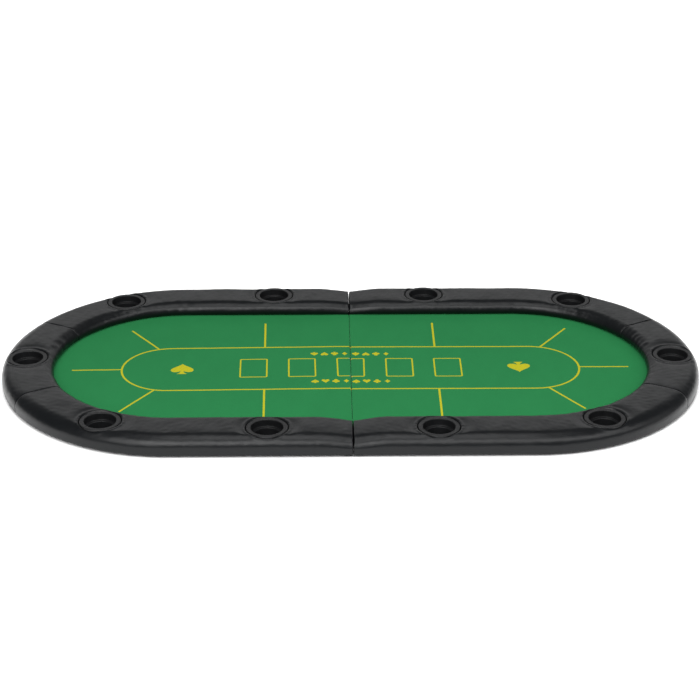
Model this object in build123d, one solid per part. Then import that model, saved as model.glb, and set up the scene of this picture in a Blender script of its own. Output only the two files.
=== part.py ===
from build123d import *
import os
from math import cos, degrees, pi, radians, sin

# Folding poker table top: a padded oval top in two halves, hinged underneath across the middle.
# Frame: +X along the long side, +Y across, +Z up; the origin is the middle of the footprint, on
# the surface that the feet stand on. Each half is drawn on the +X side and mirrored to the -X side.
# Across the rail, "offset" is the distance in from the outer edge. All sizes are millimetres.

# ---- outline and heights ----
LENGTH = 2080.0
WIDTH = 1060.0
END_RADIUS = WIDTH / 2
ARC_X = LENGTH / 2 - END_RADIUS
HALF_GAP = 1.5
FOOT_HEIGHT = 8.0
BOARD_T = 9.0
UNDERLAY_T = 2.0
FELT_T = 1.0
COVER_T = 1.0
BOARD_Z = FOOT_HEIGHT
CORE_Z = BOARD_Z + BOARD_T
FELT_TOP = CORE_Z + UNDERLAY_T + FELT_T
INNER_X = HALF_GAP + COVER_T

# ---- rail cross-section: offset from the outer edge, height ----
RAIL_TOP = 58.0
RAIL_FOOT = 142.0
SHOULDER_R = 30.0
ROLL_R = 20.0
ROLL_OFFSET = 130.0
ROLL_Z = RAIL_TOP - ROLL_R
ROLL_TUCK_DEG = 25.0
EDGE_BEVEL = 1.5
WRAP_WIDTH = 25.0
TUCK_START = 128.0
CORE_OUTER = 4.0
CORE_INNER = 138.0
CORE_T = 15.0
CORE_TOP = CORE_Z + CORE_T
RABBET_START = 118.0
RABBET_TOP = FELT_TOP + COVER_T
FELT_UNDER_RAIL = 119.0

# ---- pad ends at the fold ----
DIP_LENGTH = 90.0
DIP_DEPTH = 12.0
DIP_APEX_RISE = 0.3
FOAM_CHAMFER_X = 14.0
FOAM_CHAMFER_DROP = 9.0

# ---- cup holders, ten in all ----
CUP_OFFSET = 73.0
CUP_SIDE_X = 240.0
CUP_CORNER_TURN = 25.8
CUP_HOLE_R = 49.0
FLANGE_R = 59.0
FLANGE_TOP = 58.5
FLANGE_RIM_Z = 53.3
FLANGE_PLATE_T = 2.2
FLANGE_RIM_T = 2.2
MOUTH_R = 45.75
CUP_WALL = 1.8
CUP_DRAFT = 0.65
LEDGE_Z = 38.2
LEDGE_T = 2.0
WELL_TOP_R = 35.5
WELL_FLOOR_R = 34.5
CUP_BOTTOM = 10.0
CUP_FLOOR_T = 2.0
POCKET_R = 59.5
POCKET_Z = 53.0
POCKET_SLOPE = 3.87
SEAM_TURN = 60.0

# ---- hinges ----
HINGE_Y = (-330.0, 0.0, 330.0)
HINGE_Z = 3.5
BARREL_R = 3.0
PIN_R = 1.5
PIN_CLEARANCE = 0.05
PIN_HEAD_R = 2.4
PIN_HEAD_T = 0.8
LEAF_T = 1.5
LEAF_START = 5.7
LEAF_REACH = 31.0
LEAF_LENGTH = 80.0
KNUCKLES = 5
KNUCKLE_GAP = 0.4
HINGE_SCREW_X = (18.0, 24.0, 18.0)
HINGE_SCREW_Y = (-28.0, 0.0, 28.0)

# ---- screws, feet and staples ----
HINGE_SCREW = {"shank": 1.5, "head": 3.0, "head_t": 1.4, "length": 8.0}
RAIL_SCREW = {"shank": 2.0, "head": 4.0, "head_t": 2.0, "length": 21.0}
FOOT_SCREW = {"shank": 1.75, "head": 4.0, "head_t": 1.8, "length": 12.0}
FOOT_SCREW_Z = 1.4
SLOT_T = 0.8
FOOT_TOP_R = 12.5
FOOT_BOTTOM_R = 11.0
FOOT_RECESS_R = 5.0
FEET_LEFT = ((90.0, 470.0), (600.0, 400.0), (900.0, 150.0))
FEET_RIGHT = ((160.0, 470.0), (540.0, 410.0), (860.0, 215.0))
RAIL_SCREW_BAYS = (0.25, 0.5, 0.75)
STAPLE_CROWN = 10.0
STAPLE_WIDTH = 1.2
STAPLE_WIRE = 0.6
STAPLE_LEG = 6.0
STAPLE_OFFSET = 15.0
STAPLE_START = 34.0
STAPLE_PITCH = 61.0

ARC_AXIS = Axis((ARC_X, 0, 0), (0, 0, 1))


# ---- helpers ----
def section(*points):
    """Closed flat outline through straight-sided points."""
    return make_face(Polyline(*points, close=True))


def front_plane(x):
    """Plane across the front rail: local x is the offset from the outer edge, local y is height."""
    return Plane(origin=(x, -END_RADIUS, 0), x_dir=(0, 1, 0), z_dir=(1, 0, 0))


def front_run(profile, start, stop):
    """A rail profile extruded along the straight front edge."""
    return extrude(front_plane(start) * profile, amount=stop - start, dir=(1, 0, 0))


def both_sides(front):
    """A front piece together with its mirror image at the back."""
    return front + mirror(front, about=Plane.XZ)


def end_arc(profile):
    """A rail profile swept round the half-circle end."""
    return revolve(front_plane(ARC_X) * profile, ARC_AXIS, 180)


def ring(profile, start):
    """A rail profile carried all the way round one half, from the fold and back to it."""
    return both_sides(front_run(profile, start, ARC_X)) + end_arc(profile)


def block(low, high):
    """Box between two opposite corners."""
    size = [b - a for a, b in zip(low, high)]
    middle = [(a + b) / 2 for a, b in zip(low, high)]
    return Pos(*middle) * Box(*size)


def post(x, y, low, high, radius):
    """Upright cylinder."""
    return Pos(x, y, (low + high) / 2) * Cylinder(radius, high - low)


def half_oval(start, radius):
    """Flat half-oval outline that begins at x = start and ends in a half circle."""
    disc = Pos(ARC_X, 0) * Circle(radius)
    disc &= Pos(ARC_X + radius, 0) * Rectangle(2 * radius, 2 * radius)
    return disc + Pos((start + ARC_X) / 2, 0) * Rectangle(ARC_X - start, 2 * radius)


def plate(start, radius, low, thickness):
    """Half-oval plate standing on z = low."""
    return extrude(Pos(0, 0, low) * half_oval(start, radius), amount=thickness, dir=(0, 0, 1))


def edge_station(offset, distance):
    """Point and heading on a line inside the outer edge, walked from the fold along the front."""
    radius = END_RADIUS - offset
    arc_length = pi * radius
    if distance < ARC_X:
        return distance, -radius, 0.0
    if distance < ARC_X + arc_length:
        turn = (distance - ARC_X) / radius
        return ARC_X + radius * sin(turn), -radius * cos(turn), degrees(turn)
    return 2 * ARC_X + arc_length - distance, radius, 180.0


def cup_distances():
    """Distances of the five cup holders of one half along the cups' own line."""
    radius = END_RADIUS - CUP_OFFSET
    corner = ARC_X + radius * radians(CUP_CORNER_TURN)
    end = ARC_X + radius * pi / 2
    return CUP_SIDE_X, corner, end, 2 * end - corner, 2 * end - CUP_SIDE_X


def cup_places():
    """Centres of the five cup holders of one half."""
    return [edge_station(CUP_OFFSET, d)[:2] for d in cup_distances()]


def rail_screw_places():
    """Three screws in each bay between the fold and the cup holders."""
    total = 2 * ARC_X + pi * (END_RADIUS - CUP_OFFSET)
    stops = [0.0, *cup_distances(), total]
    bays = zip(stops[:-1], stops[1:])
    return [edge_station(CUP_OFFSET, a + f * (b - a))[:2] for a, b in bays for f in RAIL_SCREW_BAYS]


def foot_places(places):
    """Feet of one half, at the front and the back."""
    return [(x, side * y) for x, y in places for side in (-1, 1)]


def hinge_screw_places():
    """Screw centres in the leaves of one half."""
    return [(x, y + dy) for y in HINGE_Y for x, dy in zip(HINGE_SCREW_X, HINGE_SCREW_Y)]


def cross_slot(x, y, z, radius, depth):
    """Cross recess cut upwards into a screw head whose face is at height z."""
    reach = radius * 0.6
    slot_x = block((x - reach, y - SLOT_T / 2, z - 1), (x + reach, y + SLOT_T / 2, z + depth))
    slot_y = block((x - SLOT_T / 2, y - reach, z - 1), (x + SLOT_T / 2, y + reach, z + depth))
    return slot_x + slot_y


def head_cone(x, y, z, screw):
    """Countersunk head that faces down, with its widest face at height z."""
    cone = Cone(screw["head"], screw["shank"], screw["head_t"])
    return Pos(x, y, z + screw["head_t"] / 2) * cone


def countersunk_screw(x, y, z, screw):
    """Countersunk screw driven upwards, flush with the face at height z."""
    shank = post(x, y, z + screw["head_t"], z + screw["length"] - screw["shank"], screw["shank"])
    tip_z = z + screw["length"] - screw["shank"] / 2
    tip = Pos(x, y, tip_z) * Cone(screw["shank"], 0.2, screw["shank"])
    head = head_cone(x, y, z, screw)
    return head + shank + tip - cross_slot(x, y, z, screw["head"], screw["head_t"] * 0.6)


def screw_hole(x, y, z, screw, radius):
    """Countersunk hole for a screw driven upwards from the face at height z."""
    return head_cone(x, y, z, screw) + post(x, y, z + 0.1, z + screw["length"], radius)


# ---- rail sections ----
def skin_edges(inset, start, foot):
    """Outer face of the padded rail at a depth below the cover's face, from start to foot."""
    shoulder_centre = (SHOULDER_R, RAIL_TOP - SHOULDER_R)
    shoulder = CenterArc(shoulder_centre, SHOULDER_R - inset, 180, -90)
    roll = CenterArc((ROLL_OFFSET, ROLL_Z), ROLL_R - inset, 90, -90 - ROLL_TUCK_DEG)
    return [
        Line(start, shoulder @ 0),
        shoulder,
        Line(shoulder @ 1, roll @ 0),
        roll,
        Line(roll @ 1, foot),
    ]


def envelope_section():
    """Everything within the cover's outer face that the cover's own section is cut from."""
    bottom = BOARD_Z - COVER_T
    start = (0, bottom + EDGE_BEVEL)
    foot = (RAIL_FOOT, FELT_TOP)
    inside = RABBET_TOP + 0.5
    closing = Polyline(
        foot,
        (TUCK_START, FELT_TOP),
        (TUCK_START, inside),
        (WRAP_WIDTH, inside),
        (WRAP_WIDTH, bottom),
        (EDGE_BEVEL, bottom),
        start,
    )
    return make_face([*skin_edges(0, start, foot), closing])


def contents_section():
    """The space inside the cover: board edge, core and foam."""
    start = (COVER_T, BOARD_Z)
    foot = (RAIL_FOOT - COVER_T, RABBET_TOP)
    closing = Polyline(foot, (RABBET_START, RABBET_TOP), (RABBET_START, BOARD_Z), start)
    return make_face([*skin_edges(COVER_T, start, foot), closing])


def foam_section():
    """Foam pad over the top and both edges of the core."""
    start = (COVER_T, CORE_Z)
    foot = (RAIL_FOOT - COVER_T, RABBET_TOP)
    closing = Polyline(
        foot,
        (CORE_INNER, RABBET_TOP),
        (CORE_INNER, CORE_TOP),
        (CORE_OUTER, CORE_TOP),
        (CORE_OUTER, CORE_Z),
        start,
    )
    return make_face([*skin_edges(COVER_T, start, foot), closing])


def above_dip(inset, chamfer):
    """The space above the pad's top where it is pulled down towards the fold."""
    run = DIP_LENGTH - HALF_GAP
    drop = DIP_DEPTH + DIP_APEX_RISE
    radius = (run**2 + drop**2) / (2 * drop)
    centre_z = RAIL_TOP + DIP_APEX_RISE - radius
    clear_z = RAIL_TOP + 10
    radius -= inset

    def top_at(x):
        return centre_z + (radius**2 - (DIP_LENGTH - x) ** 2) ** 0.5

    end_x = FOAM_CHAMFER_X if chamfer else 0.0
    middle_x = (DIP_LENGTH + end_x) / 2
    ends = [(DIP_LENGTH, top_at(DIP_LENGTH)), (end_x, top_at(end_x))]
    arc = ThreePointArc(ends[0], (middle_x, top_at(middle_x)), ends[1])
    closing = [ends[1], (0, clear_z), (DIP_LENGTH, clear_z), ends[0]]
    if chamfer:
        closing.insert(1, (0, top_at(end_x) - FOAM_CHAMFER_DROP))
    face = Plane.XZ * make_face([arc, Polyline(*closing)])
    return extrude(face, amount=WIDTH, both=True)


def pocket(x, y, inset):
    """Dish pressed into the pad round a cup holder's flange."""
    floor = POCKET_Z - inset
    height = RAIL_TOP + 4 - floor
    dish = Cone(POCKET_R, POCKET_R + height * POCKET_SLOPE, height)
    return Pos(x, y, floor + height / 2) * dish


def pressed(solid, inset):
    """A padded solid with its dips at the fold and its dishes under the cup holders."""
    solid -= above_dip(inset, False)
    for x, y in cup_places():
        solid -= pocket(x, y, inset)
    return solid


# ---- pieces of one half ----
def base_board(feet):
    """Flat board with cup openings and the pilot and clearance holes for every screw."""
    board = plate(INNER_X, END_RADIUS - COVER_T, BOARD_Z, BOARD_T)
    holes = [post(x, y, BOARD_Z - 1, CORE_Z + 1, CUP_HOLE_R) for x, y in cup_places()]
    holes += [screw_hole(x, y, BOARD_Z, RAIL_SCREW, RAIL_SCREW["shank"]) for x, y in rail_screw_places()]
    for x, y in feet:
        holes.append(post(x, y, BOARD_Z - 1, FOOT_SCREW_Z + FOOT_SCREW["length"], FOOT_SCREW["shank"]))
    for x, y in hinge_screw_places():
        top = BOARD_Z - LEAF_T + HINGE_SCREW["length"]
        holes.append(post(x, y, BOARD_Z - 1, top, HINGE_SCREW["shank"]))
    return board - holes


def rail_core():
    """Plywood ring with a rabbet that clamps the felt and the cover's inner hem."""
    profile = section(
        (CORE_OUTER, CORE_Z),
        (RABBET_START, CORE_Z),
        (RABBET_START, RABBET_TOP),
        (CORE_INNER, RABBET_TOP),
        (CORE_INNER, CORE_TOP),
        (CORE_OUTER, CORE_TOP),
    )
    core = ring(profile, INNER_X)
    top = BOARD_Z + RAIL_SCREW["length"]
    holes = [post(x, y, CORE_Z - 1, CORE_TOP + 1, CUP_HOLE_R) for x, y in cup_places()]
    holes += [post(x, y, CORE_Z - 1, top, RAIL_SCREW["shank"]) for x, y in rail_screw_places()]
    return core - holes


def rail_foam():
    """Upholstery foam over the core, dished under the cup holders."""
    foam = pressed(ring(foam_section(), INNER_X), COVER_T)
    foam -= above_dip(COVER_T, True)
    return foam - [post(x, y, CORE_Z, RAIL_TOP, CUP_HOLE_R) for x, y in cup_places()]


def rail_cover():
    """The whole leathercloth cover of one half before it is parted at its seams."""
    outside = pressed(ring(envelope_section(), HALF_GAP), 0)
    inside = pressed(ring(contents_section(), INNER_X), COVER_T)
    end_low = (HALF_GAP, -END_RADIUS + WRAP_WIDTH - 1, BOARD_Z)
    end_high = (INNER_X, -END_RADIUS + RAIL_FOOT, RABBET_TOP + 1)
    wrap_low = (HALF_GAP, -END_RADIUS + EDGE_BEVEL, BOARD_Z - COVER_T)
    wrap_high = (HALF_GAP + WRAP_WIDTH, -END_RADIUS + RAIL_FOOT, BOARD_Z)
    cover = outside - inside + both_sides(block(end_low, end_high))
    cover += both_sides(block(wrap_low, wrap_high))
    return cover - [post(x, y, POCKET_Z - 5, RAIL_TOP, CUP_HOLE_R) for x, y in cup_places()]


def cover_panels():
    """The cover parted at its two seams into front, end and back panels."""
    cover = rail_cover()
    reach = LENGTH
    half_angle = radians(90 - SEAM_TURN)
    corner = (ARC_X + reach * cos(half_angle), reach * sin(half_angle))
    wedge = section((ARC_X, 0), corner, (corner[0], -corner[1]))
    wedge = extrude(wedge, amount=2 * RAIL_TOP, dir=(0, 0, 1))
    sides = cover - wedge
    front = sides & block((0, -WIDTH, 0), (LENGTH, 0, RAIL_TOP + 2))
    back = sides & block((0, 0, 0), (LENGTH, WIDTH, RAIL_TOP + 2))
    return {"front": front, "end": cover & wedge, "back": back}


def felt_underlay():
    """Thin foam sheet under the felt."""
    return plate(INNER_X, END_RADIUS - FELT_UNDER_RAIL, CORE_Z, UNDERLAY_T)


def felt():
    """Playing cloth, clamped under the rail and turned down over the fold edge of the board."""
    sheet = plate(INNER_X, END_RADIUS - FELT_UNDER_RAIL, FELT_TOP - FELT_T, FELT_T)
    lip_y = END_RADIUS - RAIL_FOOT - 0.3
    return sheet + block((HALF_GAP, -lip_y, BOARD_Z + 1), (INNER_X, lip_y, FELT_TOP))


def rail_screws():
    """Screws that hold the rail core down, driven up through the board."""
    return [countersunk_screw(x, y, BOARD_Z, RAIL_SCREW) for x, y in rail_screw_places()]


def rubber_feet(feet):
    """Round rubber feet with a recess for the screw head."""
    solids = []
    for x, y in feet:
        body = Pos(x, y, FOOT_HEIGHT / 2) * Cone(FOOT_BOTTOM_R, FOOT_TOP_R, FOOT_HEIGHT)
        seat = FOOT_SCREW_Z + FOOT_SCREW["head_t"]
        body -= post(x, y, -1, seat, FOOT_RECESS_R)
        solids.append(body - post(x, y, 0, FOOT_HEIGHT + 1, FOOT_SCREW["shank"]))
    return solids


def foot_screws(feet):
    """Pan-head screws that hold the feet."""
    solids = []
    for x, y in feet:
        seat = FOOT_SCREW_Z + FOOT_SCREW["head_t"]
        head = post(x, y, FOOT_SCREW_Z, seat, FOOT_SCREW["head"])
        shank = post(x, y, seat, FOOT_SCREW_Z + FOOT_SCREW["length"], FOOT_SCREW["shank"])
        depth = FOOT_SCREW["head_t"] * 0.5
        solids.append(head + shank - cross_slot(x, y, FOOT_SCREW_Z, FOOT_SCREW["head"], depth))
    return solids


def staple(x, y, heading):
    """Wire staple pressed up through the cover's underside hem, lying along the edge."""
    crown_z = BOARD_Z - COVER_T - STAPLE_WIRE
    half = STAPLE_CROWN / 2
    low = (-half, -STAPLE_WIDTH / 2, crown_z)
    body = block(low, (half, STAPLE_WIDTH / 2, crown_z + STAPLE_WIRE + STAPLE_LEG))
    inner = half - STAPLE_WIRE
    gap_low = (-inner, -STAPLE_WIDTH, crown_z + STAPLE_WIRE)
    body -= block(gap_low, (inner, STAPLE_WIDTH, BOARD_Z + STAPLE_LEG))
    return Pos(x, y, 0) * Rot(0, 0, heading) * body


def staples():
    """Evenly spaced staples along the outer edge of the underside."""
    total = 2 * ARC_X + pi * (END_RADIUS - STAPLE_OFFSET)
    count = int((total - 2 * STAPLE_START) / STAPLE_PITCH)
    pitch = (total - 2 * STAPLE_START) / count
    distances = [STAPLE_START + i * pitch for i in range(count + 1)]
    return [staple(*edge_station(STAPLE_OFFSET, d)) for d in distances]


# ---- cup holders ----
def cup_holder(x, y):
    """Two-step moulded cup with a wide flange that lies on the rail."""
    plate_z = FLANGE_TOP - FLANGE_PLATE_T
    rim_in = FLANGE_R - FLANGE_RIM_T
    ledge_r = MOUTH_R - CUP_DRAFT
    well_r = WELL_TOP_R + CUP_WALL
    corners = {
        (0, CUP_BOTTOM): None,
        (WELL_FLOOR_R + CUP_WALL, CUP_BOTTOM): 3.0,
        (well_r, LEDGE_Z - LEDGE_T): 1.0,
        (ledge_r + CUP_WALL, LEDGE_Z - LEDGE_T): 2.5,
        (MOUTH_R + CUP_WALL, plate_z): 0.4,
        (rim_in, plate_z): 0.4,
        (rim_in, FLANGE_RIM_Z): 0.5,
        (FLANGE_R, FLANGE_RIM_Z): 0.5,
        (FLANGE_R, FLANGE_TOP): 2.4,
        (MOUTH_R, FLANGE_TOP): 1.6,
        (ledge_r, LEDGE_Z): 1.2,
        (WELL_TOP_R, LEDGE_Z): 1.5,
        (WELL_FLOOR_R, CUP_BOTTOM + CUP_FLOOR_T): 2.5,
        (0, CUP_BOTTOM + CUP_FLOOR_T): None,
    }
    radii = [r for r in corners.values() if r is not None]
    points = list(corners)
    profile = make_face([FilletPolyline(*points, radius=radii), Line(points[-1], points[0])])
    return Pos(x, y, 0) * revolve(Plane.XZ * profile, Axis.Z, 360)


# ---- hinges ----
def knuckle_span(index):
    """Low and high ends of one knuckle along the hinge, from the hinge's middle."""
    pitch = LEAF_LENGTH / KNUCKLES
    low = -LEAF_LENGTH / 2 + index * pitch
    return low + KNUCKLE_GAP / 2, low + pitch - KNUCKLE_GAP / 2


def crank_section():
    """Curl of the leaf from the flat plate down to the barrel, as offset from the fold, height."""
    top = HINGE_Z + BARREL_R
    under = top - LEAF_T
    return section(
        (0, top),
        (3.2, top),
        (5.2, BOARD_Z),
        (LEAF_START + 1.5, BOARD_Z),
        (LEAF_START + 1.5, BOARD_Z - LEAF_T),
        (LEAF_START, BOARD_Z - LEAF_T),
        (3.8, under),
        (0, under),
    )


def hinge_leaf(y, first_knuckle, bore):
    """Leaf on the +X side, screwed flat under the board, with every second knuckle."""
    low_z = BOARD_Z - LEAF_T
    half = LEAF_LENGTH / 2
    leaf = block((LEAF_START, y - half, low_z), (LEAF_REACH, y + half, BOARD_Z))
    axis_pose = Pos(0, y, HINGE_Z) * Rot(90, 0, 0)
    for index in range(first_knuckle, KNUCKLES, 2):
        low, high = knuckle_span(index)
        middle = y + (low + high) / 2
        crank = Plane.XZ * crank_section()
        leaf += Pos(0, middle, 0) * extrude(crank, amount=(high - low) / 2, both=True)
        leaf += Pos(0, middle, HINGE_Z) * Rot(90, 0, 0) * Cylinder(BARREL_R, high - low)
    leaf -= axis_pose * Cylinder(bore, LEAF_LENGTH + 2)
    for x, dy in zip(HINGE_SCREW_X, HINGE_SCREW_Y):
        leaf -= screw_hole(x, y + dy, low_z, HINGE_SCREW, HINGE_SCREW["shank"])
    return leaf


def hinge_pin(y):
    """Pin with a peened head at each end."""
    length = LEAF_LENGTH + KNUCKLE_GAP
    pose = Pos(0, y, HINGE_Z) * Rot(90, 0, 0)
    pin = pose * Cylinder(PIN_R, length)
    for side in (-1, 1):
        head_y = y + side * (length + PIN_HEAD_T) / 2
        pin += Pos(0, head_y, HINGE_Z) * Rot(90, 0, 0) * Cylinder(PIN_HEAD_R, PIN_HEAD_T)
    return pin


def hinge_screws():
    """Countersunk screws in the leaves of one half."""
    low_z = BOARD_Z - LEAF_T
    return [countersunk_screw(x, y, low_z, HINGE_SCREW) for x, y in hinge_screw_places()]


# ---- assembly ----
def one_half(feet):
    """Every piece of one half except its hinge leaves, drawn on the +X side."""
    places = foot_places(feet)
    pieces = {
        "base_board": base_board(places),
        "rail_core": rail_core(),
        "rail_foam": rail_foam(),
        "felt_underlay": felt_underlay(),
        "felt": felt(),
        "rail_screws": rail_screws(),
        "hinge_screws": hinge_screws(),
        "rubber_feet": rubber_feet(places),
        "foot_screws": foot_screws(places),
        "staples": staples(),
    }
    for place, panel in cover_panels().items():
        pieces[f"rail_cover_{place}"] = panel
    names = ("front", "front_corner", "end", "back_corner", "back")
    for name, (x, y) in zip(names, cup_places()):
        pieces[f"cup_holder_{name}"] = cup_holder(x, y)
    return pieces


def hinge_pieces():
    """Leaves and pins of the hinges; the pins are tight in the left leaves."""
    pieces = {}
    for name, y in zip(("front", "middle", "back"), HINGE_Y):
        left = hinge_leaf(y, 0, PIN_R)
        pieces[f"hinge_{name}_leaf_left"] = mirror(left, about=Plane.YZ)
        pieces[f"hinge_{name}_leaf_right"] = hinge_leaf(y, 1, PIN_R + PIN_CLEARANCE)
        pieces[f"hinge_{name}_pin"] = hinge_pin(y)
    return pieces


def write(name, shape):
    """One STEP file for one node; a list is a group of separate solids."""
    solids = shape if isinstance(shape, list) else [shape]
    export_step(Compound(children=[Part() + solid for solid in solids]), f"parts/{name}.step")


def main():
    os.makedirs("parts", exist_ok=True)
    for name, shape in one_half(FEET_RIGHT).items():
        write(f"{name}_right", shape)
    for name, shape in one_half(FEET_LEFT).items():
        solids = shape if isinstance(shape, list) else [shape]
        write(f"{name}_left", [mirror(solid, about=Plane.YZ) for solid in solids])
    for name, shape in hinge_pieces().items():
        write(name, shape)


main()
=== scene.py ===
from math import cos, hypot, pi, radians, sin, sqrt

import bmesh
import bpy
import numpy as np
from mathutils import Matrix, Vector
from mathutils.bvhtree import BVHTree
from mathutils.geometry import delaunay_2d_cdt


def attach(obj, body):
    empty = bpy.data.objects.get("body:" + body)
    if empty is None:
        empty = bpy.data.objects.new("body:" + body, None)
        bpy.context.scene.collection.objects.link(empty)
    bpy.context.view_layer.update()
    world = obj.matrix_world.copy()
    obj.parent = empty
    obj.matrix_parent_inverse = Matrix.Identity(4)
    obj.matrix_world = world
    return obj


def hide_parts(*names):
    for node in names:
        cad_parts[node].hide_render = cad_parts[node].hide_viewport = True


# Looks of the folding poker table top. Shapes are worked out in millimetres in the CAD's frame, for the
# half on the +X side, and mirrored for the other half. "station" is the distance along the rail from the
# fold, measured on the line through the cup holders. "offset" is the distance in from the outer edge.

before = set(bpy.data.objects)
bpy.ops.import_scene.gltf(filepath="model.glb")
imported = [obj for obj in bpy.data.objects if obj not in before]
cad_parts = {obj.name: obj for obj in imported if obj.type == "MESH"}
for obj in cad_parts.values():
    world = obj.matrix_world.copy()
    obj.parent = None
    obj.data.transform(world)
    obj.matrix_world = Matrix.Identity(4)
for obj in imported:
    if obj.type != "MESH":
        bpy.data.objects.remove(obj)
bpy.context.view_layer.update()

MM = 0.001
HALVES = {"left": -1, "right": 1}

# ---- sizes that the CAD has too ----
OUTER_R = 530.0
ARC_X = 510.0
FOLD_X = 1.5
CUP_LINE = 457.0
HEM_Z = 7.0
HEM_WIDTH = 25.0
RAIL_TOP = 58.0
RAIL_FOOT = 142.0
HOLE_R = 49.0
POCKET_Z = 53.0
POCKET_R = 60.0
LEATHER_T = 1.0
FELT_TOP = 20.0
FELT_T = 1.0
FELT_R = 411.0
FELT_LIP = 387.5
FELT_LIP_Z = 9.0

# ---- sizes of the stuffed rail, which only the looks have ----
WALL_HEIGHT = 28.0
PAD_TOP = 60.5
SHOULDER = 40.0
ROLL_OFFSET = 119.0
ROLL_HEIGHT = 38.0
ROLL = 31.0
ROLL_TUCK = radians(25.0)
TUCKED_IN = 14.0
CORNER = 1.5
SEAM_TURN = radians(60.0)
SEAM_BOW = 2.6
SEAM_DEPTH = 1.1
SAG_LENGTH = 95.0
SAG = 10.5
CROWN = 2.0
CROWN_HALF = 60.0
LUMPS = 0.38
DIMPLES = 0.12
GATHERS = 0.3
END_LENGTH = 8.0
END_BULGE = 1.05
CUP_TURN = radians(25.8)
CUP_X = 240.0
CUP_REACH = 84.0
FOAM_DEPTH = 1.3

STRAIGHT = ARC_X - FOLD_X
RING = 2 * STRAIGHT + pi * CUP_LINE
SEAM = STRAIGHT + CUP_LINE * SEAM_TURN
CUP_STATIONS = (
    CUP_X - FOLD_X,
    STRAIGHT + CUP_LINE * CUP_TURN,
    RING / 2,
    RING - STRAIGHT - CUP_LINE * CUP_TURN,
    RING - CUP_X + FOLD_X,
)
CUP_OFFSET = OUTER_R - CUP_LINE


# ---- small helpers ----
def smooth(t):
    t = np.clip(t, 0, 1)
    return t * t * (3 - 2 * t)


def lower(a, b, k):
    """The lower of two heights, rounded over k where they cross."""
    h = np.clip(k - np.abs(a - b), 0, None) / k
    return np.minimum(a, b) - h * h * k / 4


def ripples(seed, count, shortest, longest, stretch=1.0):
    """A smooth random relief from about -1 to 1 over two distances, longer along the first by stretch."""
    rng = np.random.default_rng(seed)
    wave = 2 * pi / np.exp(rng.uniform(np.log(shortest), np.log(longest), count))
    way, phase = rng.uniform(0, pi, count), rng.uniform(0, 2 * pi, count)

    def relief(a, b):
        total = np.zeros(np.shape(a))
        for k, w, p in zip(wave, way, phase):
            total += np.sin(k * (a * cos(w) / stretch + b * sin(w)) + p)
        return total / sqrt(count)

    return relief


def new_object(name, points, faces, material, mirror=False):
    """A smooth-shaded mesh from points in millimetres, mirrored to the -X side if asked."""
    points = np.asarray(points, float) * MM
    if mirror:
        points = points * (-1, 1, 1)
        faces = [tuple(reversed(f)) for f in faces]
    mesh = bpy.data.meshes.new(name)
    mesh.from_pydata(points.tolist(), [], [tuple(map(int, f)) for f in faces])
    mesh.validate()
    mesh.polygons.foreach_set("use_smooth", [True] * len(mesh.polygons))
    mesh.materials.append(material)
    obj = bpy.data.objects.new(name, mesh)
    bpy.context.scene.collection.objects.link(obj)
    return obj


def thicken(obj, thickness):
    """Gives a skin its thickness on the inside."""
    solid = obj.modifiers.new("thickness", "SOLIDIFY")
    solid.thickness = thickness * MM
    solid.offset = -1


def covered_by(places, loop):
    """Which of the flat places lie inside the loop."""
    x, y = places.T
    inside = np.zeros(len(places), bool)
    for (x0, y0), (x1, y1) in zip(loop, loop[1:] + loop[:1]):
        if y0 != y1:
            inside ^= ((y0 > y) != (y1 > y)) & (x < x0 + (y - y0) * (x1 - x0) / (y1 - y0))
    return inside


def triangulate(border, holes, shapes, loose):
    """Flat triangles inside the border and outside the holes. Returns points, triangles and, for each
    triangle, whether one of the shapes covers it."""
    points, loops = [], []
    for loop in [border, *holes, *shapes]:
        x, y = np.array(loop).T
        if np.sum(x * np.roll(y, -1) - y * np.roll(x, -1)) < 0:
            loop = loop[::-1]
        loops.append(list(range(len(points), len(points) + len(loop))))
        points += [Vector(p) for p in loop]
    points += [Vector(p) for p in loose]
    found = delaunay_2d_cdt(points, [], loops, 1, 1e-5, False)
    flat, triangles = np.array([tuple(p) for p in found[0]]), np.array(found[2])
    middles = flat[triangles].mean(axis=1)
    cut, covered = (np.zeros(len(middles), bool) for _ in range(2))
    for hole in holes:
        cut |= covered_by(middles, hole)
    for shape in shapes:
        covered |= covered_by(middles, shape)
    return flat, [tuple(t) for t in triangles[~cut]], covered[~cut]


# ---- materials ----
SOCKETS = {"specular_ior_level": "Specular IOR Level"}


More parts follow.
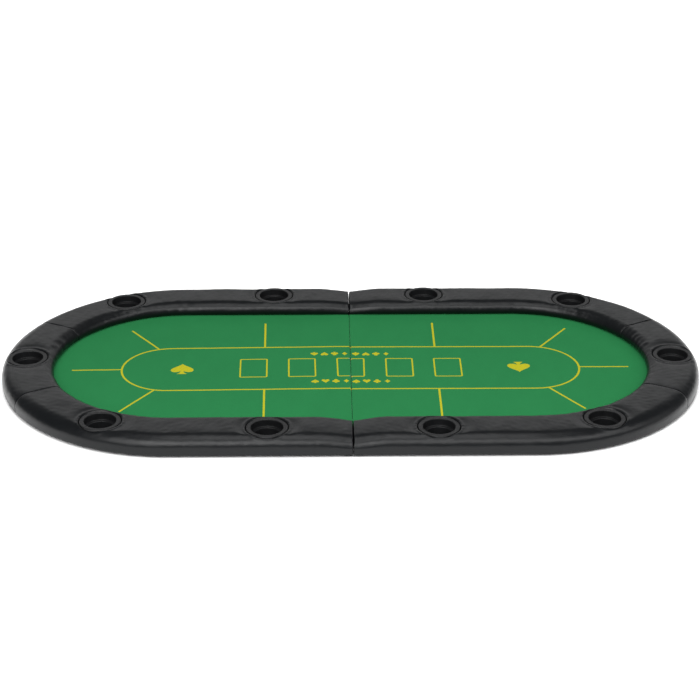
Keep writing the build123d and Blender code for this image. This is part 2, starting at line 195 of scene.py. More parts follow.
class Nodes:
    """A material being built: a Principled shader and a few helpers for the nodes in front of it."""

    def __init__(self, name, **inputs):
        self.material = bpy.data.materials.new(name)
        self.material.use_nodes = True
        self.tree = self.material.node_tree
        self.shader = self.tree.nodes["Principled BSDF"]
        self.place = self.add("ShaderNodeTexCoord").outputs["Object"]
        for key, value in inputs.items():
            self.shader.inputs[SOCKETS.get(key, key.replace("_", " ").title())].default_value = value

    def add(self, kind, **settings):
        node = self.tree.nodes.new(kind)
        for key, value in settings.items():
            setattr(node, key, value)
        return node

    def link(self, output, target):
        self.tree.links.new(output, target)

    def stretched(self, scale):
        """Object coordinates scaled by a different amount each way, for grain that runs one way."""
        node = self.add("ShaderNodeMapping")
        node.inputs["Scale"].default_value = scale
        self.link(self.place, node.inputs["Vector"])
        return node.outputs["Vector"]

    def noise(self, scale, detail=4.0, rough=0.55, vector=None, distort=0.0):
        node = self.add("ShaderNodeTexNoise")
        node.inputs["Scale"].default_value = scale
        node.inputs["Detail"].default_value = detail
        node.inputs["Roughness"].default_value = rough
        node.inputs["Distortion"].default_value = distort
        self.link(vector or self.place, node.inputs["Vector"])
        return node.outputs["Fac"]

    def cells(self, scale):
        node = self.add("ShaderNodeTexVoronoi", feature="F1")
        node.inputs["Scale"].default_value = scale
        self.link(self.place, node.inputs["Vector"])
        return node.outputs["Distance"]

    def ramp(self, value, *stops):
        """A colour or grey for each of the places given, smoothly between them."""
        node = self.add("ShaderNodeValToRGB")
        ramp = node.color_ramp
        while len(ramp.elements) < len(stops):
            ramp.elements.new(0.5)
        for element, (place, colour) in zip(ramp.elements, stops):
            element.position = place
            element.color = (*colour, 1) if isinstance(colour, tuple) else (colour,) * 3 + (1,)
        self.link(value, node.inputs["Fac"])
        return node.outputs["Color"]

    def mix(self, factor, a, b, blend="MIX"):
        node = self.add("ShaderNodeMix", data_type="RGBA", blend_type=blend)
        for value, socket in ((factor, "Factor_Float"), (a, "A_Color"), (b, "B_Color")):
            target = next(i for i in node.inputs if i.identifier == socket)
            if isinstance(value, bpy.types.NodeSocket):
                self.link(value, target)
            else:
                target.default_value = (*value, 1) if isinstance(value, tuple) else value
        return next(o for o in node.outputs if o.identifier == "Result_Color")

    def attribute(self, name):
        return self.add("ShaderNodeAttribute", attribute_name=name).outputs["Fac"]

    def bump(self, *layers):
        """Bumps one over another, each (height, distance in mm, strength)."""
        last = None
        for height, distance, strength in layers:
            node = self.add("ShaderNodeBump")
            node.inputs["Distance"].default_value = distance * MM
            node.inputs["Strength"].default_value = strength
            self.link(height, node.inputs["Height"])
            if last:
                self.link(last, node.inputs["Normal"])
            last = node.outputs["Normal"]
        self.link(last, self.shader.inputs["Normal"])

    def colour(self, output):
        self.link(output, self.shader.inputs["Base Color"])

    def rough(self, output):
        self.link(output, self.shader.inputs["Roughness"])


def leathercloth():
    """Charcoal vinyl with a pebble grain and fine wrinkles, darkened by painted shade in its seams, round the
    cup holders and where it tucks down to the felt.
    """
    m = Nodes("leathercloth", specular_ior_level=0.25)
    pebbles = m.ramp(m.cells(620), (0.1, 1.0), (0.75, 0.0))
    wrinkles = m.noise(55, 5, 0.6, distort=0.6)
    cloud = m.noise(9, 3)
    tone = m.mix(cloud, (0.0032, 0.0038, 0.0046), (0.0048, 0.0056, 0.0064))
    tone = m.mix(m.ramp(pebbles, (0.0, 0.25), (1.0, 0.0)), tone, (0.0022, 0.0026, 0.0030))
    # Painted shade: darker where the point attribute marks seam grooves, troughs round the cup flanges and the
    # tuck at the felt.
    m.colour(m.mix(m.attribute("painted_shade"), tone, (0.002, 0.002, 0.0025)))
    m.rough(m.ramp(m.noise(30, 4), (0.3, 0.28), (0.7, 0.36)))
    m.bump((wrinkles, 0.5, 0.12), (pebbles, 0.12, 0.35))
    return m.material


def felt_green():
    """Green felt: fine fibres, a brushed nap and slightly worn patches."""
    dark, light = (0.0100, 0.140, 0.0400), (0.0180, 0.204, 0.0610)
    m = Nodes("felt", sheen_weight=0.02, sheen_roughness=0.5, specular_ior_level=0.12)
    fibres = m.noise(900, 6, 0.7, distort=1.2)
    naps = m.noise(24, 4, 0.6, vector=m.stretched((1.0, 0.45, 1.0)))
    worn = m.noise(5, 3)
    tone = m.mix(m.ramp(fibres, (0.3, 0.0), (0.7, 1.0)), dark, light)
    tone = m.mix(m.ramp(naps, (0.35, 0.0), (0.65, 0.22)), tone, dark)
    m.colour(m.mix(m.ramp(worn, (0.4, 0.0), (0.7, 0.12)), tone, light))
    m.rough(m.ramp(fibres, (0.3, 0.86), (0.7, 0.98)))
    m.bump((naps, 0.25, 0.25), (fibres, 0.25, 0.55))
    return m.material


def felt_print():
    """The yellow ink of the lines, in the nap, with the green showing through a little."""
    m = Nodes("felt_print", sheen_weight=0.02, sheen_roughness=0.5, specular_ior_level=0.15)
    fibres = m.noise(900, 6, 0.7, distort=1.2)
    tone = m.mix(m.ramp(fibres, (0.35, 0.0), (0.75, 1.0)), (0.36, 0.36, 0.008), (0.56, 0.49, 0.010))
    gaps = m.ramp(m.noise(420, 5, 0.7), (0.32, 1.0), (0.42, 0.0))
    m.colour(m.mix(gaps, tone, (0.12, 0.23, 0.030)))
    m.rough(m.ramp(fibres, (0.3, 0.75), (0.7, 0.9)))
    m.bump((fibres, 0.22, 0.5))
    return m.material


def cup_plastic():
    """Black moulded plastic with a fine etched face and light scuffs."""
    m = Nodes("cup_plastic", specular_ior_level=0.28)
    etched = m.noise(1400, 3, 0.6)
    scuffs = m.noise(60, 6, 0.7, vector=m.stretched((1.0, 7.0, 1.0)))
    cloud = m.ramp(m.noise(16, 3), (0.35, 0.0), (0.65, 1.0))
    m.colour(m.mix(cloud, (0.0050, 0.0053, 0.0058), (0.0075, 0.0078, 0.0086)))
    m.rough(m.ramp(scuffs, (0.35, 0.34), (0.62, 0.46)))
    m.bump((etched, 0.05, 0.30), (scuffs, 0.06, 0.20))
    return m.material


def hardboard():
    """Brown pressed fibre board."""
    m = Nodes("hardboard", specular_ior_level=0.3)
    flecks = m.noise(260, 6, 0.7, distort=0.8)
    cloud = m.noise(7, 3)
    tone = m.mix(m.ramp(flecks, (0.35, 0.0), (0.65, 1.0)), (0.120, 0.066, 0.032), (0.235, 0.142, 0.076))
    m.colour(m.mix(m.ramp(cloud, (0.35, 0.0), (0.7, 0.35)), tone, (0.105, 0.060, 0.032)))
    m.rough(m.ramp(flecks, (0.3, 0.62), (0.7, 0.80)))
    m.bump((flecks, 0.15, 0.45))
    return m.material


def plywood():
    """Birch ply: layers one over another, and grain along the table."""
    m = Nodes("plywood", specular_ior_level=0.3)
    layers = m.add("ShaderNodeTexWave", wave_type="BANDS", bands_direction="Z")
    layers.inputs["Scale"].default_value = 105.0
    layers.inputs["Distortion"].default_value = 0.6
    m.link(m.place, layers.inputs["Vector"])
    grain = m.noise(34, 6, 0.65, vector=m.stretched((0.5, 7.0, 7.0)), distort=0.4)
    tone = m.mix(m.ramp(grain, (0.35, 0.0), (0.65, 1.0)), (0.40, 0.255, 0.130), (0.62, 0.44, 0.255))
    m.colour(m.mix(m.ramp(layers.outputs["Fac"], (0.3, 0.45), (0.6, 0.0)), tone, (0.235, 0.130, 0.060)))
    m.rough(m.ramp(grain, (0.3, 0.55), (0.7, 0.72)))
    m.bump((grain, 0.12, 0.4))
    return m.material


def foam():
    """Cream upholstery foam with open cells."""
    m = Nodes("foam", specular_ior_level=0.2)
    pores = m.cells(520)
    tone = m.mix(m.noise(12, 3), (0.62, 0.545, 0.36), (0.70, 0.625, 0.44))
    m.colour(m.mix(m.ramp(pores, (0.0, 0.45), (0.5, 0.0)), tone, (0.34, 0.27, 0.15)))
    m.rough(m.ramp(pores, (0.0, 1.0), (0.6, 0.85)))
    m.bump((pores, 0.5, 0.6))
    return m.material


def underlay():
    """Grey needled underlay."""
    m = Nodes("underlay", specular_ior_level=0.15)
    fibres = m.noise(380, 6, 0.75, distort=1.0)
    m.colour(m.mix(m.ramp(fibres, (0.3, 0.0), (0.7, 1.0)), (0.23, 0.23, 0.22), (0.42, 0.42, 0.40)))
    m.rough(m.ramp(fibres, (0.3, 0.85), (0.7, 1.0)))
    m.bump((fibres, 0.4, 0.6))
    return m.material


def steel(name, light, dark, low, high):
    """Plated steel with rolling marks and dull patches."""
    m = Nodes(name, metallic=1.0)
    brushed = m.noise(120, 5, 0.7, vector=m.stretched((1.0, 14.0, 14.0)))
    spangle = m.cells(240)
    m.colour(m.mix(m.ramp(spangle, (0.1, 0.0), (0.8, 0.5)), light, dark))
    m.rough(m.ramp(brushed, (0.3, low), (0.7, high)))
    m.bump((brushed, 0.04, 0.35))
    return m.material


def rubber():
    """Dull black rubber with a dusty bloom."""
    m = Nodes("foot_rubber", specular_ior_level=0.3)
    dust = m.noise(70, 5, 0.7)
    m.colour(m.mix(m.ramp(dust, (0.45, 0.0), (0.75, 0.5)), (0.014, 0.014, 0.014), (0.060, 0.058, 0.054)))
    m.rough(m.ramp(dust, (0.3, 0.68), (0.7, 0.88)))
    m.bump((m.noise(900, 3), 0.06, 0.35))
    return m.material


# ---- the rail's leathercloth ----
def skin_path():
    """The cover's outside across the rail, from the stapled hem under the board, up the wall, over the
    shoulder and the top and down the roll to the tuck: distance, offset and height of close points."""
    shoulder = [
        (SHOULDER * (1 - cos(a)), WALL_HEIGHT + (PAD_TOP - WALL_HEIGHT) * sin(a))
        for a in np.linspace(0, pi / 2, 50)
    ]
    roll = [
        (ROLL_OFFSET + ROLL * cos(a), ROLL_HEIGHT + (PAD_TOP - ROLL_HEIGHT) * sin(a))
        for a in np.linspace(pi / 2, -ROLL_TUCK, 60)
    ]
    corners = [
        (HEM_WIDTH, HEM_Z),
        (CORNER, HEM_Z),
        (0, HEM_Z + CORNER),
        *shoulder,
        *roll,
        (RAIL_FOOT, FELT_TOP),
        (RAIL_FOOT - TUCKED_IN, FELT_TOP),
    ]
    points = [corners[0]]
    for a, b in zip(corners, corners[1:]):
        steps = max(1, round(hypot(b[0] - a[0], b[1] - a[1])))
        points += [
            (a[0] + (b[0] - a[0]) * k / steps, a[1] + (b[1] - a[1]) * k / steps)
            for k in range(1, steps + 1)
        ]
    points = np.array(points)
    run = np.concatenate([[0], np.cumsum(np.hypot(*np.diff(points, axis=0).T))])
    return run, points[:, 0], points[:, 1]


RUN, PATH_OFFSET, PATH_HEIGHT = skin_path()
SLOPE_OFFSET, SLOPE_HEIGHT = np.gradient(PATH_OFFSET, RUN), np.gradient(PATH_HEIGHT, RUN)
# Distances across the skin where its parts meet: wall, shoulder, top, roll, the slope under it, and the tuck.
WALL_FOOT = HEM_WIDTH - CORNER + CORNER * sqrt(2)
WALL_TOP = WALL_FOOT + WALL_HEIGHT - HEM_Z - CORNER
UP_SIDE = (RUN >= WALL_TOP) & (np.arange(len(RUN)) <= np.argmax(PATH_OFFSET))
TOP_START, TOP_END = np.interp((SHOULDER, ROLL_OFFSET), PATH_OFFSET[UP_SIDE], RUN[UP_SIDE])
ROLL_SIDE = RUN[np.argmax(PATH_OFFSET)]
FOOT = RUN[-1] - TUCKED_IN
ROLL_END = FOOT - hypot(
    ROLL_OFFSET + ROLL * cos(ROLL_TUCK) - RAIL_FOOT,
    ROLL_HEIGHT - (PAD_TOP - ROLL_HEIGHT) * sin(ROLL_TUCK) - FELT_TOP,
)


def on_rail(station, offset):
    """x and y of a place on the rail."""
    radius = OUTER_R - offset
    turn = np.clip((station - STRAIGHT) / CUP_LINE, 0, pi)
    before = np.clip(STRAIGHT - station, 0, None)
    after = np.clip(station - STRAIGHT - pi * CUP_LINE, 0, None)
    return ARC_X + radius * np.sin(turn) - before - after, -radius * np.cos(turn)


def off_rail(x, y):
    """Station and offset of a place given by x and y."""
    turn = np.where(x > ARC_X, np.arctan2(np.clip(x - ARC_X, 0, None), -y), np.where(y < 0, 0, pi))
    radius = np.where(x > ARC_X, np.hypot(x - ARC_X, y), np.abs(y))
    straight = np.clip(ARC_X - x, 0, None)
    return STRAIGHT + CUP_LINE * turn + np.where(y < 0, -straight, straight), OUTER_R - radius


def settled(x, offset, height):
    """Where the pad's surface goes near the fold, where it sags and is pulled in on both sides."""
    sag = SAG * np.clip(1 - x / SAG_LENGTH, 0, 1) ** 1.3 * (0.72 + 0.28 * smooth((offset - 4) / 14))
    inward = 0.55 * smooth((offset - 95) / 45) * smooth((height - 20) / 12)
    return offset - sag * inward, height - sag * smooth((height - 18) / 24)


def pillow(radius):
    """Height of the stuffed leather round a cup holder's flange: a steep wall and then a fuller ring."""
    t = np.clip((radius - POCKET_R) / 5, 0, 1)
    wall = (RAIL_TOP + 1.4 - POCKET_Z) * np.sqrt(1 - (1 - t) ** 2.2)
    return POCKET_Z + wall + 3.4 * smooth((radius - 66) / 34)


def rail_skin(station, run, seams, seed):
    """Points of the stuffed cover and how much painted shade each one gets, for stations along the rail and
    distances across the skin. seams are the stations where the panel is sewn to its neighbour."""
    offset, height = np.interp(run, RUN, PATH_OFFSET), np.interp(run, RUN, PATH_HEIGHT)
    out_offset, out_height = -np.interp(run, RUN, SLOPE_HEIGHT), np.interp(run, RUN, SLOPE_OFFSET)
    upper = smooth((run - WALL_TOP + 6) / 20) * smooth((ROLL_END + 8 - run) / 14)
    wall = smooth((run - WALL_FOOT) / 8) * smooth((FOOT - run) / 8)

    # Stuffing: the top is crowned, the roll hangs a little, and nothing is quite even.
    from_middle = np.abs(offset - (SHOULDER + ROLL_OFFSET) / 2)
    held = sum(np.exp(-(((station - centre) / 75) ** 2)) for centre in CUP_STATIONS)
    crown = CROWN * (1 - 0.65 * held) * (1 - np.clip(from_middle / CROWN_HALF, 0, 1) ** 2.3)
    crown = crown * (run > WALL_TOP) + 0.7 * wall
    crown += 2.2 * np.exp(-(((height - 31) / 9) ** 2)) * (run > TOP_END) * wall
    lumps = ripples(seed, 14, 55, 170, 1.6)(station, run) * LUMPS
    dimples = ripples(seed + 1, 18, 16, 42, 0.9)(station, run) * DIMPLES
    on_roll = smooth((run - TOP_END + 4) / 20) * smooth((ROLL_END + 4 - run) / 12)
    turning = smooth((station - STRAIGHT + 60) / 90) * smooth((RING - STRAIGHT + 60 - station) / 90)
    gathers = ripples(seed + 2, 9, 20, 55)(station, run * 0.12) * GATHERS * on_roll * (0.35 + 0.65 * turning)
    out = crown + (lumps + dimples) * upper + gathers

    # Seams: a sewn groove, fuller either side of it, with small puckers along it, and painted shade along the
    # groove.
    painted_shade = np.zeros(np.shape(station))
    for n, seam in enumerate(seams):
        away = np.abs(station - seam)
        out = out - SEAM_DEPTH * np.exp(-((away / 1.9) ** 2)) * (0.35 + 0.65 * wall)
        out = out - 0.4 * np.exp(-((away / 10) ** 2)) * upper
        pucker = ripples(seed + 5 + n, 8, 9, 20)(run, station * 0.08)
        out = out + 0.28 * pucker * np.exp(-away / 7) * (1 - np.exp(-away / 1.5)) * upper
        painted_shade = np.maximum(painted_shade, np.exp(-((away / 1.5) ** 2)) * 0.5)
    hem = 1 - smooth((run - WALL_FOOT + 6) / 4)
    out = out + hem * 0.25 * ripples(seed + 9, 8, 9, 22)(station, run * 0.1) * (0.2 + turning)

    # The sides stay clear of the foam, which is close under them.
    out = np.maximum(out, -0.25 - 1.5 * smooth((height - 57) / 3))
    offset, z = offset + out * out_offset, height + out * out_height
    offset, z = settled(on_rail(station, offset)[0], offset, z)
    x, y = on_rail(station, offset)

    # Cup holders: the flange presses the leather down and it swells up round it. Painted shade darkens the
    # trough next to the flange.
    for centre in CUP_STATIONS:
        cx, cy = on_rail(np.float64(centre), CUP_OFFSET)
        radius, angle = np.hypot(x - cx, y - cy), np.arctan2(y - cy, x - cx)
        near = (radius < 100) & (z > 40)
        beyond = radius - POCKET_R
        folds = ripples(seed + 11 + int(centre), 9, 9, 20)(angle * POCKET_R, radius * 0.15)
        ring = pillow(radius) + 0.42 * folds * np.exp(-np.clip(beyond, 0, None) / 8) * smooth(beyond / 2)
        z = np.where(near, np.where(radius > POCKET_R, lower(z, ring, 1.6), np.minimum(z, POCKET_Z)), z)
        z = z + near * (z > 50) * 1.1 * np.exp(-(((radius - 67) / 4.0) ** 2))
        trough_shade = np.exp(-((np.clip(beyond + 0.5, 0, None) / 2.0) ** 2)) * 0.6
        painted_shade = np.where(near, np.maximum(painted_shade, trough_shade), painted_shade)
    # Painted shade where the cover tucks down onto the felt.
    painted_shade = np.maximum(painted_shade, 0.6 * np.exp(-(((run - FOOT) / 3.0) ** 2)))
    return np.stack([x, y, z], axis=-1), painted_shade


def across_stations():
    """Where the rows of the panel's net lie across the skin."""
    parts = (
        (0, WALL_FOOT - 2.2, 4),
        (WALL_FOOT - 2.2, WALL_FOOT, 2),
        (WALL_FOOT, WALL_TOP, 5),
        (WALL_TOP, TOP_START, 18),
        (TOP_START, TOP_END, 18),
        (TOP_END, ROLL_END, 20),
        (ROLL_END, FOOT, 5),
        (FOOT, RUN[-1], 3),
    )
    rows = [0.0]
    for low, high, steps in parts:
        rows += list(np.linspace(low, high, steps + 1)[1:])
    return np.array(rows)


def along_stations(low, high, seams):
    """Where the columns of the panel's net lie along the rail, closer together beside a seam."""
    columns = list(np.linspace(low, high, round((high - low) / 4.2) + 1))
    for seam in seams:
        way = 1 if abs(seam - low) < 1 else -1
        columns = [c for c in columns if abs(c - seam) > 8 or c == seam]
        columns += [seam + way * d for d in (0.8, 1.7, 2.8, 4.2, 6.2)]
    return np.array(sorted(columns + [s for s in seams if s not in columns]))


def panel_net(low, high, seams):
    """The flat net of a panel, station by distance across: points and triangles, with rings of points
    round each cup hole."""
    rows, columns = across_stations(), along_stations(low, high, seams)
    border = (
        [(c, rows[0]) for c in columns[:-1]]
        + [(columns[-1], r) for r in rows[:-1]]
        + [(c, rows[-1]) for c in columns[:0:-1]]
        + [(columns[0], r) for r in rows[:0:-1]]
    )
    station, run = (a.ravel() for a in np.meshgrid(columns[1:-1], rows[1:-1]))
    offset = np.interp(run, RUN, PATH_OFFSET)
    x, y = on_rail(station, offset)
    free, holes, rings = np.ones(len(station), bool), [], []
    radii = [*np.linspace(HOLE_R, 59, 4), *(59.7 + (CUP_REACH - 59.7) * np.linspace(0, 1, 13) ** 1.7)]
    angles = np.linspace(0, 2 * pi, 133)[:-1]
    for centre in CUP_STATIONS:
        if not low < centre < high:
            continue
        cx, cy = on_rail(np.float64(centre), CUP_OFFSET)
        inside = (offset > 6) & (offset < 143) & (run > WALL_TOP) & (run < ROLL_SIDE)
        free &= ~((np.hypot(x - cx, y - cy) < CUP_REACH + 1) & inside)
        for n, radius in enumerate(radii):
            turned = angles + (n % 2) * (angles[1] / 2)
            ring_station, ring_offset = off_rail(cx + radius * np.cos(turned), cy + radius * np.sin(turned))
            ring_run = np.interp(ring_offset, PATH_OFFSET[UP_SIDE], RUN[UP_SIDE])
            ring = [(s, r) for s, r, o in zip(ring_station, ring_run, ring_offset) if 6.5 < o < 142.5]
            (holes.append(ring) if n == 0 else rings.extend(ring))
    loose = list(zip(station[free], run[free])) + rings
    points, triangles, _ = triangulate(border, holes, [], loose)
    return points, triangles, rows


def fold_end(rows, seed):
    """Where the cover closes the pad's end at the fold: a strip of rows that rounds the edge, comes down
    the end face and wraps under the board. Returns its points, faces and the painted shade of each point."""
    wall = rows[(rows >= WALL_FOOT - 0.01) & (rows <= FOOT + 0.01)]
    section, painted_shade = rail_skin(np.full(len(wall), END_LENGTH), wall, (), seed)
    offset, height = OUTER_R + section[:, 1], section[:, 2]
    spine = np.stack([np.clip(offset, 20, 128) - offset, np.clip(24 - height, None, -0.001)], axis=1)
    spine /= np.linalg.norm(spine, axis=1)[:, None]
    round_r = 2 + 0.8 * smooth((height - 33) / 5) + 0.7 * smooth((height - 40) / 8)
    lines, shade_per_row = [section], [painted_shade]
    for angle in np.linspace(0, pi / 2, 9)[1:]:
        depth = END_LENGTH * sin(angle)
        past = np.clip(depth - (END_LENGTH - round_r), 0, round_r)
        inset = round_r - np.sqrt(np.clip(round_r**2 - past**2, 0, None))
        o, z = offset + spine[:, 0] * inset, height + spine[:, 1] * inset
        lines.append(np.stack([np.full(len(wall), FOLD_X + END_LENGTH - depth), o - OUTER_R, z], axis=1))
        shade_per_row.append(painted_shade * 0)
    edge = lines[-1]
    share = (wall - wall[0]) / (wall[-1] - wall[0])
    floor_offset = 0.5 * np.clip(edge[:, 1] + OUTER_R, 0, RAIL_FOOT) + 0.5 * RAIL_FOOT * share
    floor_offset = np.clip(floor_offset, 0.8, RAIL_FOOT - 0.4)
    face = ripples(seed + 3, 10, 18, 50)
    for t in (0.2, 0.4, 0.6, 0.8, 1.0):
        o = (edge[:, 1] + OUTER_R) * (1 - t) + floor_offset * t
        z = edge[:, 2] * (1 - t) + (HEM_Z + 1) * t
        x = FOLD_X - (END_BULGE + 0.06 * face(o, z)) * sqrt(sin(pi * t) + 1e-9)
        lines.append(np.stack([x, o - OUTER_R, z], axis=1))
        shade_per_row.append(painted_shade * 0)
    over = 0.7 * smooth((30 - floor_offset) / 4)
    for x in (FOLD_X + 0.3, FOLD_X + 1, 8, 14, 20, FOLD_X + HEM_WIDTH):
        drop = 0.7 if x < FOLD_X + 1 else 1.0
        z = HEM_Z + 1 - drop - over * (x > 3)
        lines.append(np.stack([np.full(len(wall), x), floor_offset - OUTER_R, z + 0 * floor_offset], axis=1))
        shade_per_row.append(painted_shade * 0)
    points, n = np.concatenate(lines), len(wall)
    faces = [
        (k * n + i, k * n + i + 1, (k + 1) * n + i + 1, (k + 1) * n + i)
        for k in range(len(lines) - 1)
        for i in range(n - 1)
    ]
    return points, faces, np.concatenate(shade_per_row)


def faces_outward(points, faces, probe):
    """Turns all faces over if the one nearest the probe direction looks down."""
    a, b, c = (points[list(faces[probe])[k]] for k in range(3))
    return faces if np.cross(b - a, c - a)[2] > 0 else [tuple(reversed(f)) for f in faces]


def rail_cover(half, place, material, seed):
    """One sewn panel of the cover, stuffed over the rail."""
    side = HALVES[half]
    if place == "end":
        low, high, seams = SEAM, RING - SEAM, (SEAM, RING - SEAM)
    else:
        low, high, seams = END_LENGTH, SEAM, (SEAM,)
    net, triangles, rows = panel_net(low, high, seams)
    points, painted_shade = bowed_skin(net, seams, seed)
    across = [net[list(t), 1] for t in triangles]
    top = int(np.argmax([np.mean(run > TOP_START) * np.mean(run < TOP_END) for run in across]))
    faces = faces_outward(points, triangles, top)
    if place != "end":
        end_points, end_faces, end_painted_shade = fold_end(rows, seed)
        first = faces_outward(end_points, end_faces, len(rows) // 2)
        faces = faces + [tuple(i + len(points) for i in f) for f in first]
        points, painted_shade = np.concatenate([points, end_points]), np.concatenate([painted_shade, end_painted_shade])
    if place == "back":
        points = points * (1, -1, 1)
        faces = [tuple(reversed(f)) for f in faces]
    obj = new_object(f"stuffed_cover_{place}_{half}", points, faces, material, side < 0)
    # Painted shade of the seams, cup troughs and tuck, kept on the points for the leather's colour.
    shade = obj.data.attributes.new("painted_shade", "FLOAT", "POINT")
    shade.data.foreach_set("value", painted_shade.astype(np.float32))
    weld = obj.modifiers.new("join the end to the panel", "WELD")
    weld.merge_threshold = 0.02 * MM
    thicken(obj, LEATHER_T)
    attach(obj, f"{half}_half")
    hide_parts(f"rail_cover_{place}_{half}")
    return obj


def foam_pad(half, covers, material):
    """The rail's foam: the CAD's shape, dented to stay under the stuffed cover. covers are its pieces."""
    node = f"rail_foam_{half}"
    shape = bmesh.new()
    shape.from_mesh(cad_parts[node].data)
    bmesh.ops.triangulate(shape, faces=shape.faces[:])
    for _ in range(5):
        long = [
            e
            for e in shape.edges
            if e.calc_length() > 9 * MM and min(abs(v.co.x) for v in e.verts) < (SAG_LENGTH + 10) * MM
        ]
        bmesh.ops.subdivide_edges(shape, edges=long, cuts=1)
        bmesh.ops.triangulate(shape, faces=[f for f in shape.faces if len(f.verts) > 3])
    skins = []
    for cover in covers:
        skin = bmesh.new()
        skin.from_mesh(cover.data)
        skins.append(BVHTree.FromBMesh(skin))
        skin.free()
    for vert in shape.verts:
        if vert.co.z < (FELT_TOP + 2) * MM:
            continue
        found = min((s.find_nearest(vert.co) for s in skins), key=lambda hit: hit[3])
        place, normal = found[0], found[1]
        if (vert.co - place).dot(normal) > -FOAM_DEPTH * MM and found[3] < 14 * MM:
            vert.co = place - normal * FOAM_DEPTH * MM
    mesh = bpy.data.meshes.new(f"foam_pad_{half}")
    shape.to_mesh(mesh)
    shape.free()
    mesh.materials.clear()
    mesh.materials.append(material)
    obj = bpy.data.objects.new(mesh.name, mesh)
    bpy.context.scene.collection.objects.link(obj)
    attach(obj, f"{half}_half")
    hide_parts(node)
    return obj


def bowed_skin(net, seams, seed):
    """The stuffed skin over a net whose seams bow a little, as sewn on a curve."""
    bow = SEAM_BOW * np.sin(pi * np.clip(np.interp(net[:, 1], RUN, PATH_OFFSET) / RAIL_FOOT, 0, 1))
    shift = np.zeros(len(net))
    for seam in seams:
        shift += bow * np.exp(-(((net[:, 0] - seam) / 45) ** 2)) * (1 if seam < RING / 2 else -1)
    flat, painted_shade = rail_skin(net[:, 0], net[:, 1], seams, seed)
    station, offset = off_rail(flat[:, 0], flat[:, 1])
    x, y = on_rail(station + shift, offset)
    return np.stack([x, y, flat[:, 2]], axis=-1), painted_shade


# ---- the printed felt ----
FOLD_BEND = 2.0
FELT_BUTT = 1.2
BEND_LENGTH = FOLD_BEND * pi / 2
LIP = FELT_TOP - FOLD_BEND - FELT_LIP_Z
FLAT_SHIFT = LIP + BEND_LENGTH - (FOLD_X + FOLD_BEND)
LINE = 6.0


def arc(x, y, radius, start, end, steps):
    """Points on an arc, angles in degrees."""
    return [
        (x + radius * cos(radians(a)), y + radius * sin(radians(a))) for a in np.linspace(start, end, steps + 1)
    ]


def curve(*corners, steps=14):
    """A cubic Bezier through its first and last corners."""
    p0, p1, p2, p3 = (np.array(c, float) for c in corners)
    return [
        tuple((1 - t) ** 3 * p0 + 3 * (1 - t) ** 2 * t * p1 + 3 * (1 - t) * t**2 * p2 + t**3 * p3)
        for t in np.linspace(0, 1, steps + 1)[:-1]
    ]


def mirrored(points):
    return [(-x, y) for x, y in reversed(points)]


def heart():
    """A heart in a box about 1 high, point down."""
    half = curve((0, -0.5), (0.10, -0.28), (0.50, -0.02), (0.50, 0.22))
    half += curve((0.50, 0.22), (0.50, 0.50), (0.10, 0.58), (0, 0.24))
    return [half + [(0, 0.24)] + mirrored(half[1:])]


def diamond():
    side = curve((0, -0.5), (0.10, -0.30), (0.24, -0.10), (0.38, 0))
    side += curve((0.38, 0), (0.24, 0.10), (0.10, 0.30), (0, 0.5))
    return [side + [(0, 0.5)] + mirrored(side[1:])]


def stem():
    """The foot under a spade or a club."""
    side = curve((0.045, 0.0), (0.05, -0.28), (0.10, -0.44), (0.24, -0.5)) + [(0.24, -0.5)]
    return side + mirrored(side)


def spade():
    """A spade 1 high, point up: a heart upside down on a stem."""
    half = curve((0, 0.5), (0.07, 0.30), (0.50, 0.12), (0.50, -0.12))
    half += curve((0.50, -0.12), (0.50, -0.38), (0.14, -0.38), (0.03, -0.16)) + [(0.03, -0.16)]
    return [(half + mirrored(half[1:]))[::-1], stem()]


def club():
    discs = [arc(x, y, 0.235, 0, 360, 24)[:-1] for x, y in ((0, 0.26), (-0.25, -0.08), (0.25, -0.08))]
    middle = [(-0.12, -0.12), (0.12, -0.12), (0.08, 0.14), (-0.08, 0.14)]
    return discs + [middle, stem()]


def placed(shapes, x, y, width, height, turn=0.0):
    """Shapes scaled to width by height, turned by degrees and put at x, y."""
    c, s = cos(radians(turn)), sin(radians(turn))
    return [
        [(x + c * px * width - s * py * height, y + s * px * width + c * py * height) for px, py in shape]
        for shape in shapes
    ]


def stroke(x0, y0, x1, y1, width=LINE):
    """A straight printed line."""
    length = hypot(x1 - x0, y1 - y0)
    nx, ny = -(y1 - y0) / length * width / 2, (x1 - x0) / length * width / 2
    return [(x0 - nx, y0 - ny), (x1 - nx, y1 - ny), (x1 + nx, y1 + ny), (x0 + nx, y0 + ny)]


def rounded(x, y, half_w, half_h, r, start, end):
    """Part of a rounded box from one angle to another, by its corners, in degrees."""
    corners = {45: (1, 1), 135: (-1, 1), 225: (-1, -1), 315: (1, -1)}
    points = []
    for middle in [a for a in (-45, 45, 135, 225) if start < a < end]:
        sx, sy = corners[middle % 360]
        points += arc(x + sx * (half_w - r), y + sy * (half_h - r), r, middle - 45, middle + 45, 5)
    return points


def card_box(x, inner_edge):
    """A card's outline in two C-shaped parts, or in one that opens at the fold."""
    w, h, t = 42.0, 63.0, 4.5
    shapes = []
    for start, end in ((-90, 90), (90, 270)):
        if inner_edge is not None and start == 90:
            continue
        outside = rounded(x, 0, w, h, 6, start, end)
        inside = rounded(x, 0, w - t, h - t, 2.5, start, end)
        open_x = x if inner_edge is None else inner_edge
        first, last = (open_x, -h if start < 0 else h), (open_x, h if start < 0 else -h)
        step = -t if start < 0 else t
        shapes.append(
            [first, *outside, last, (open_x, last[1] + step), *inside[::-1], (open_x, first[1] - step)]
        )
    return shapes


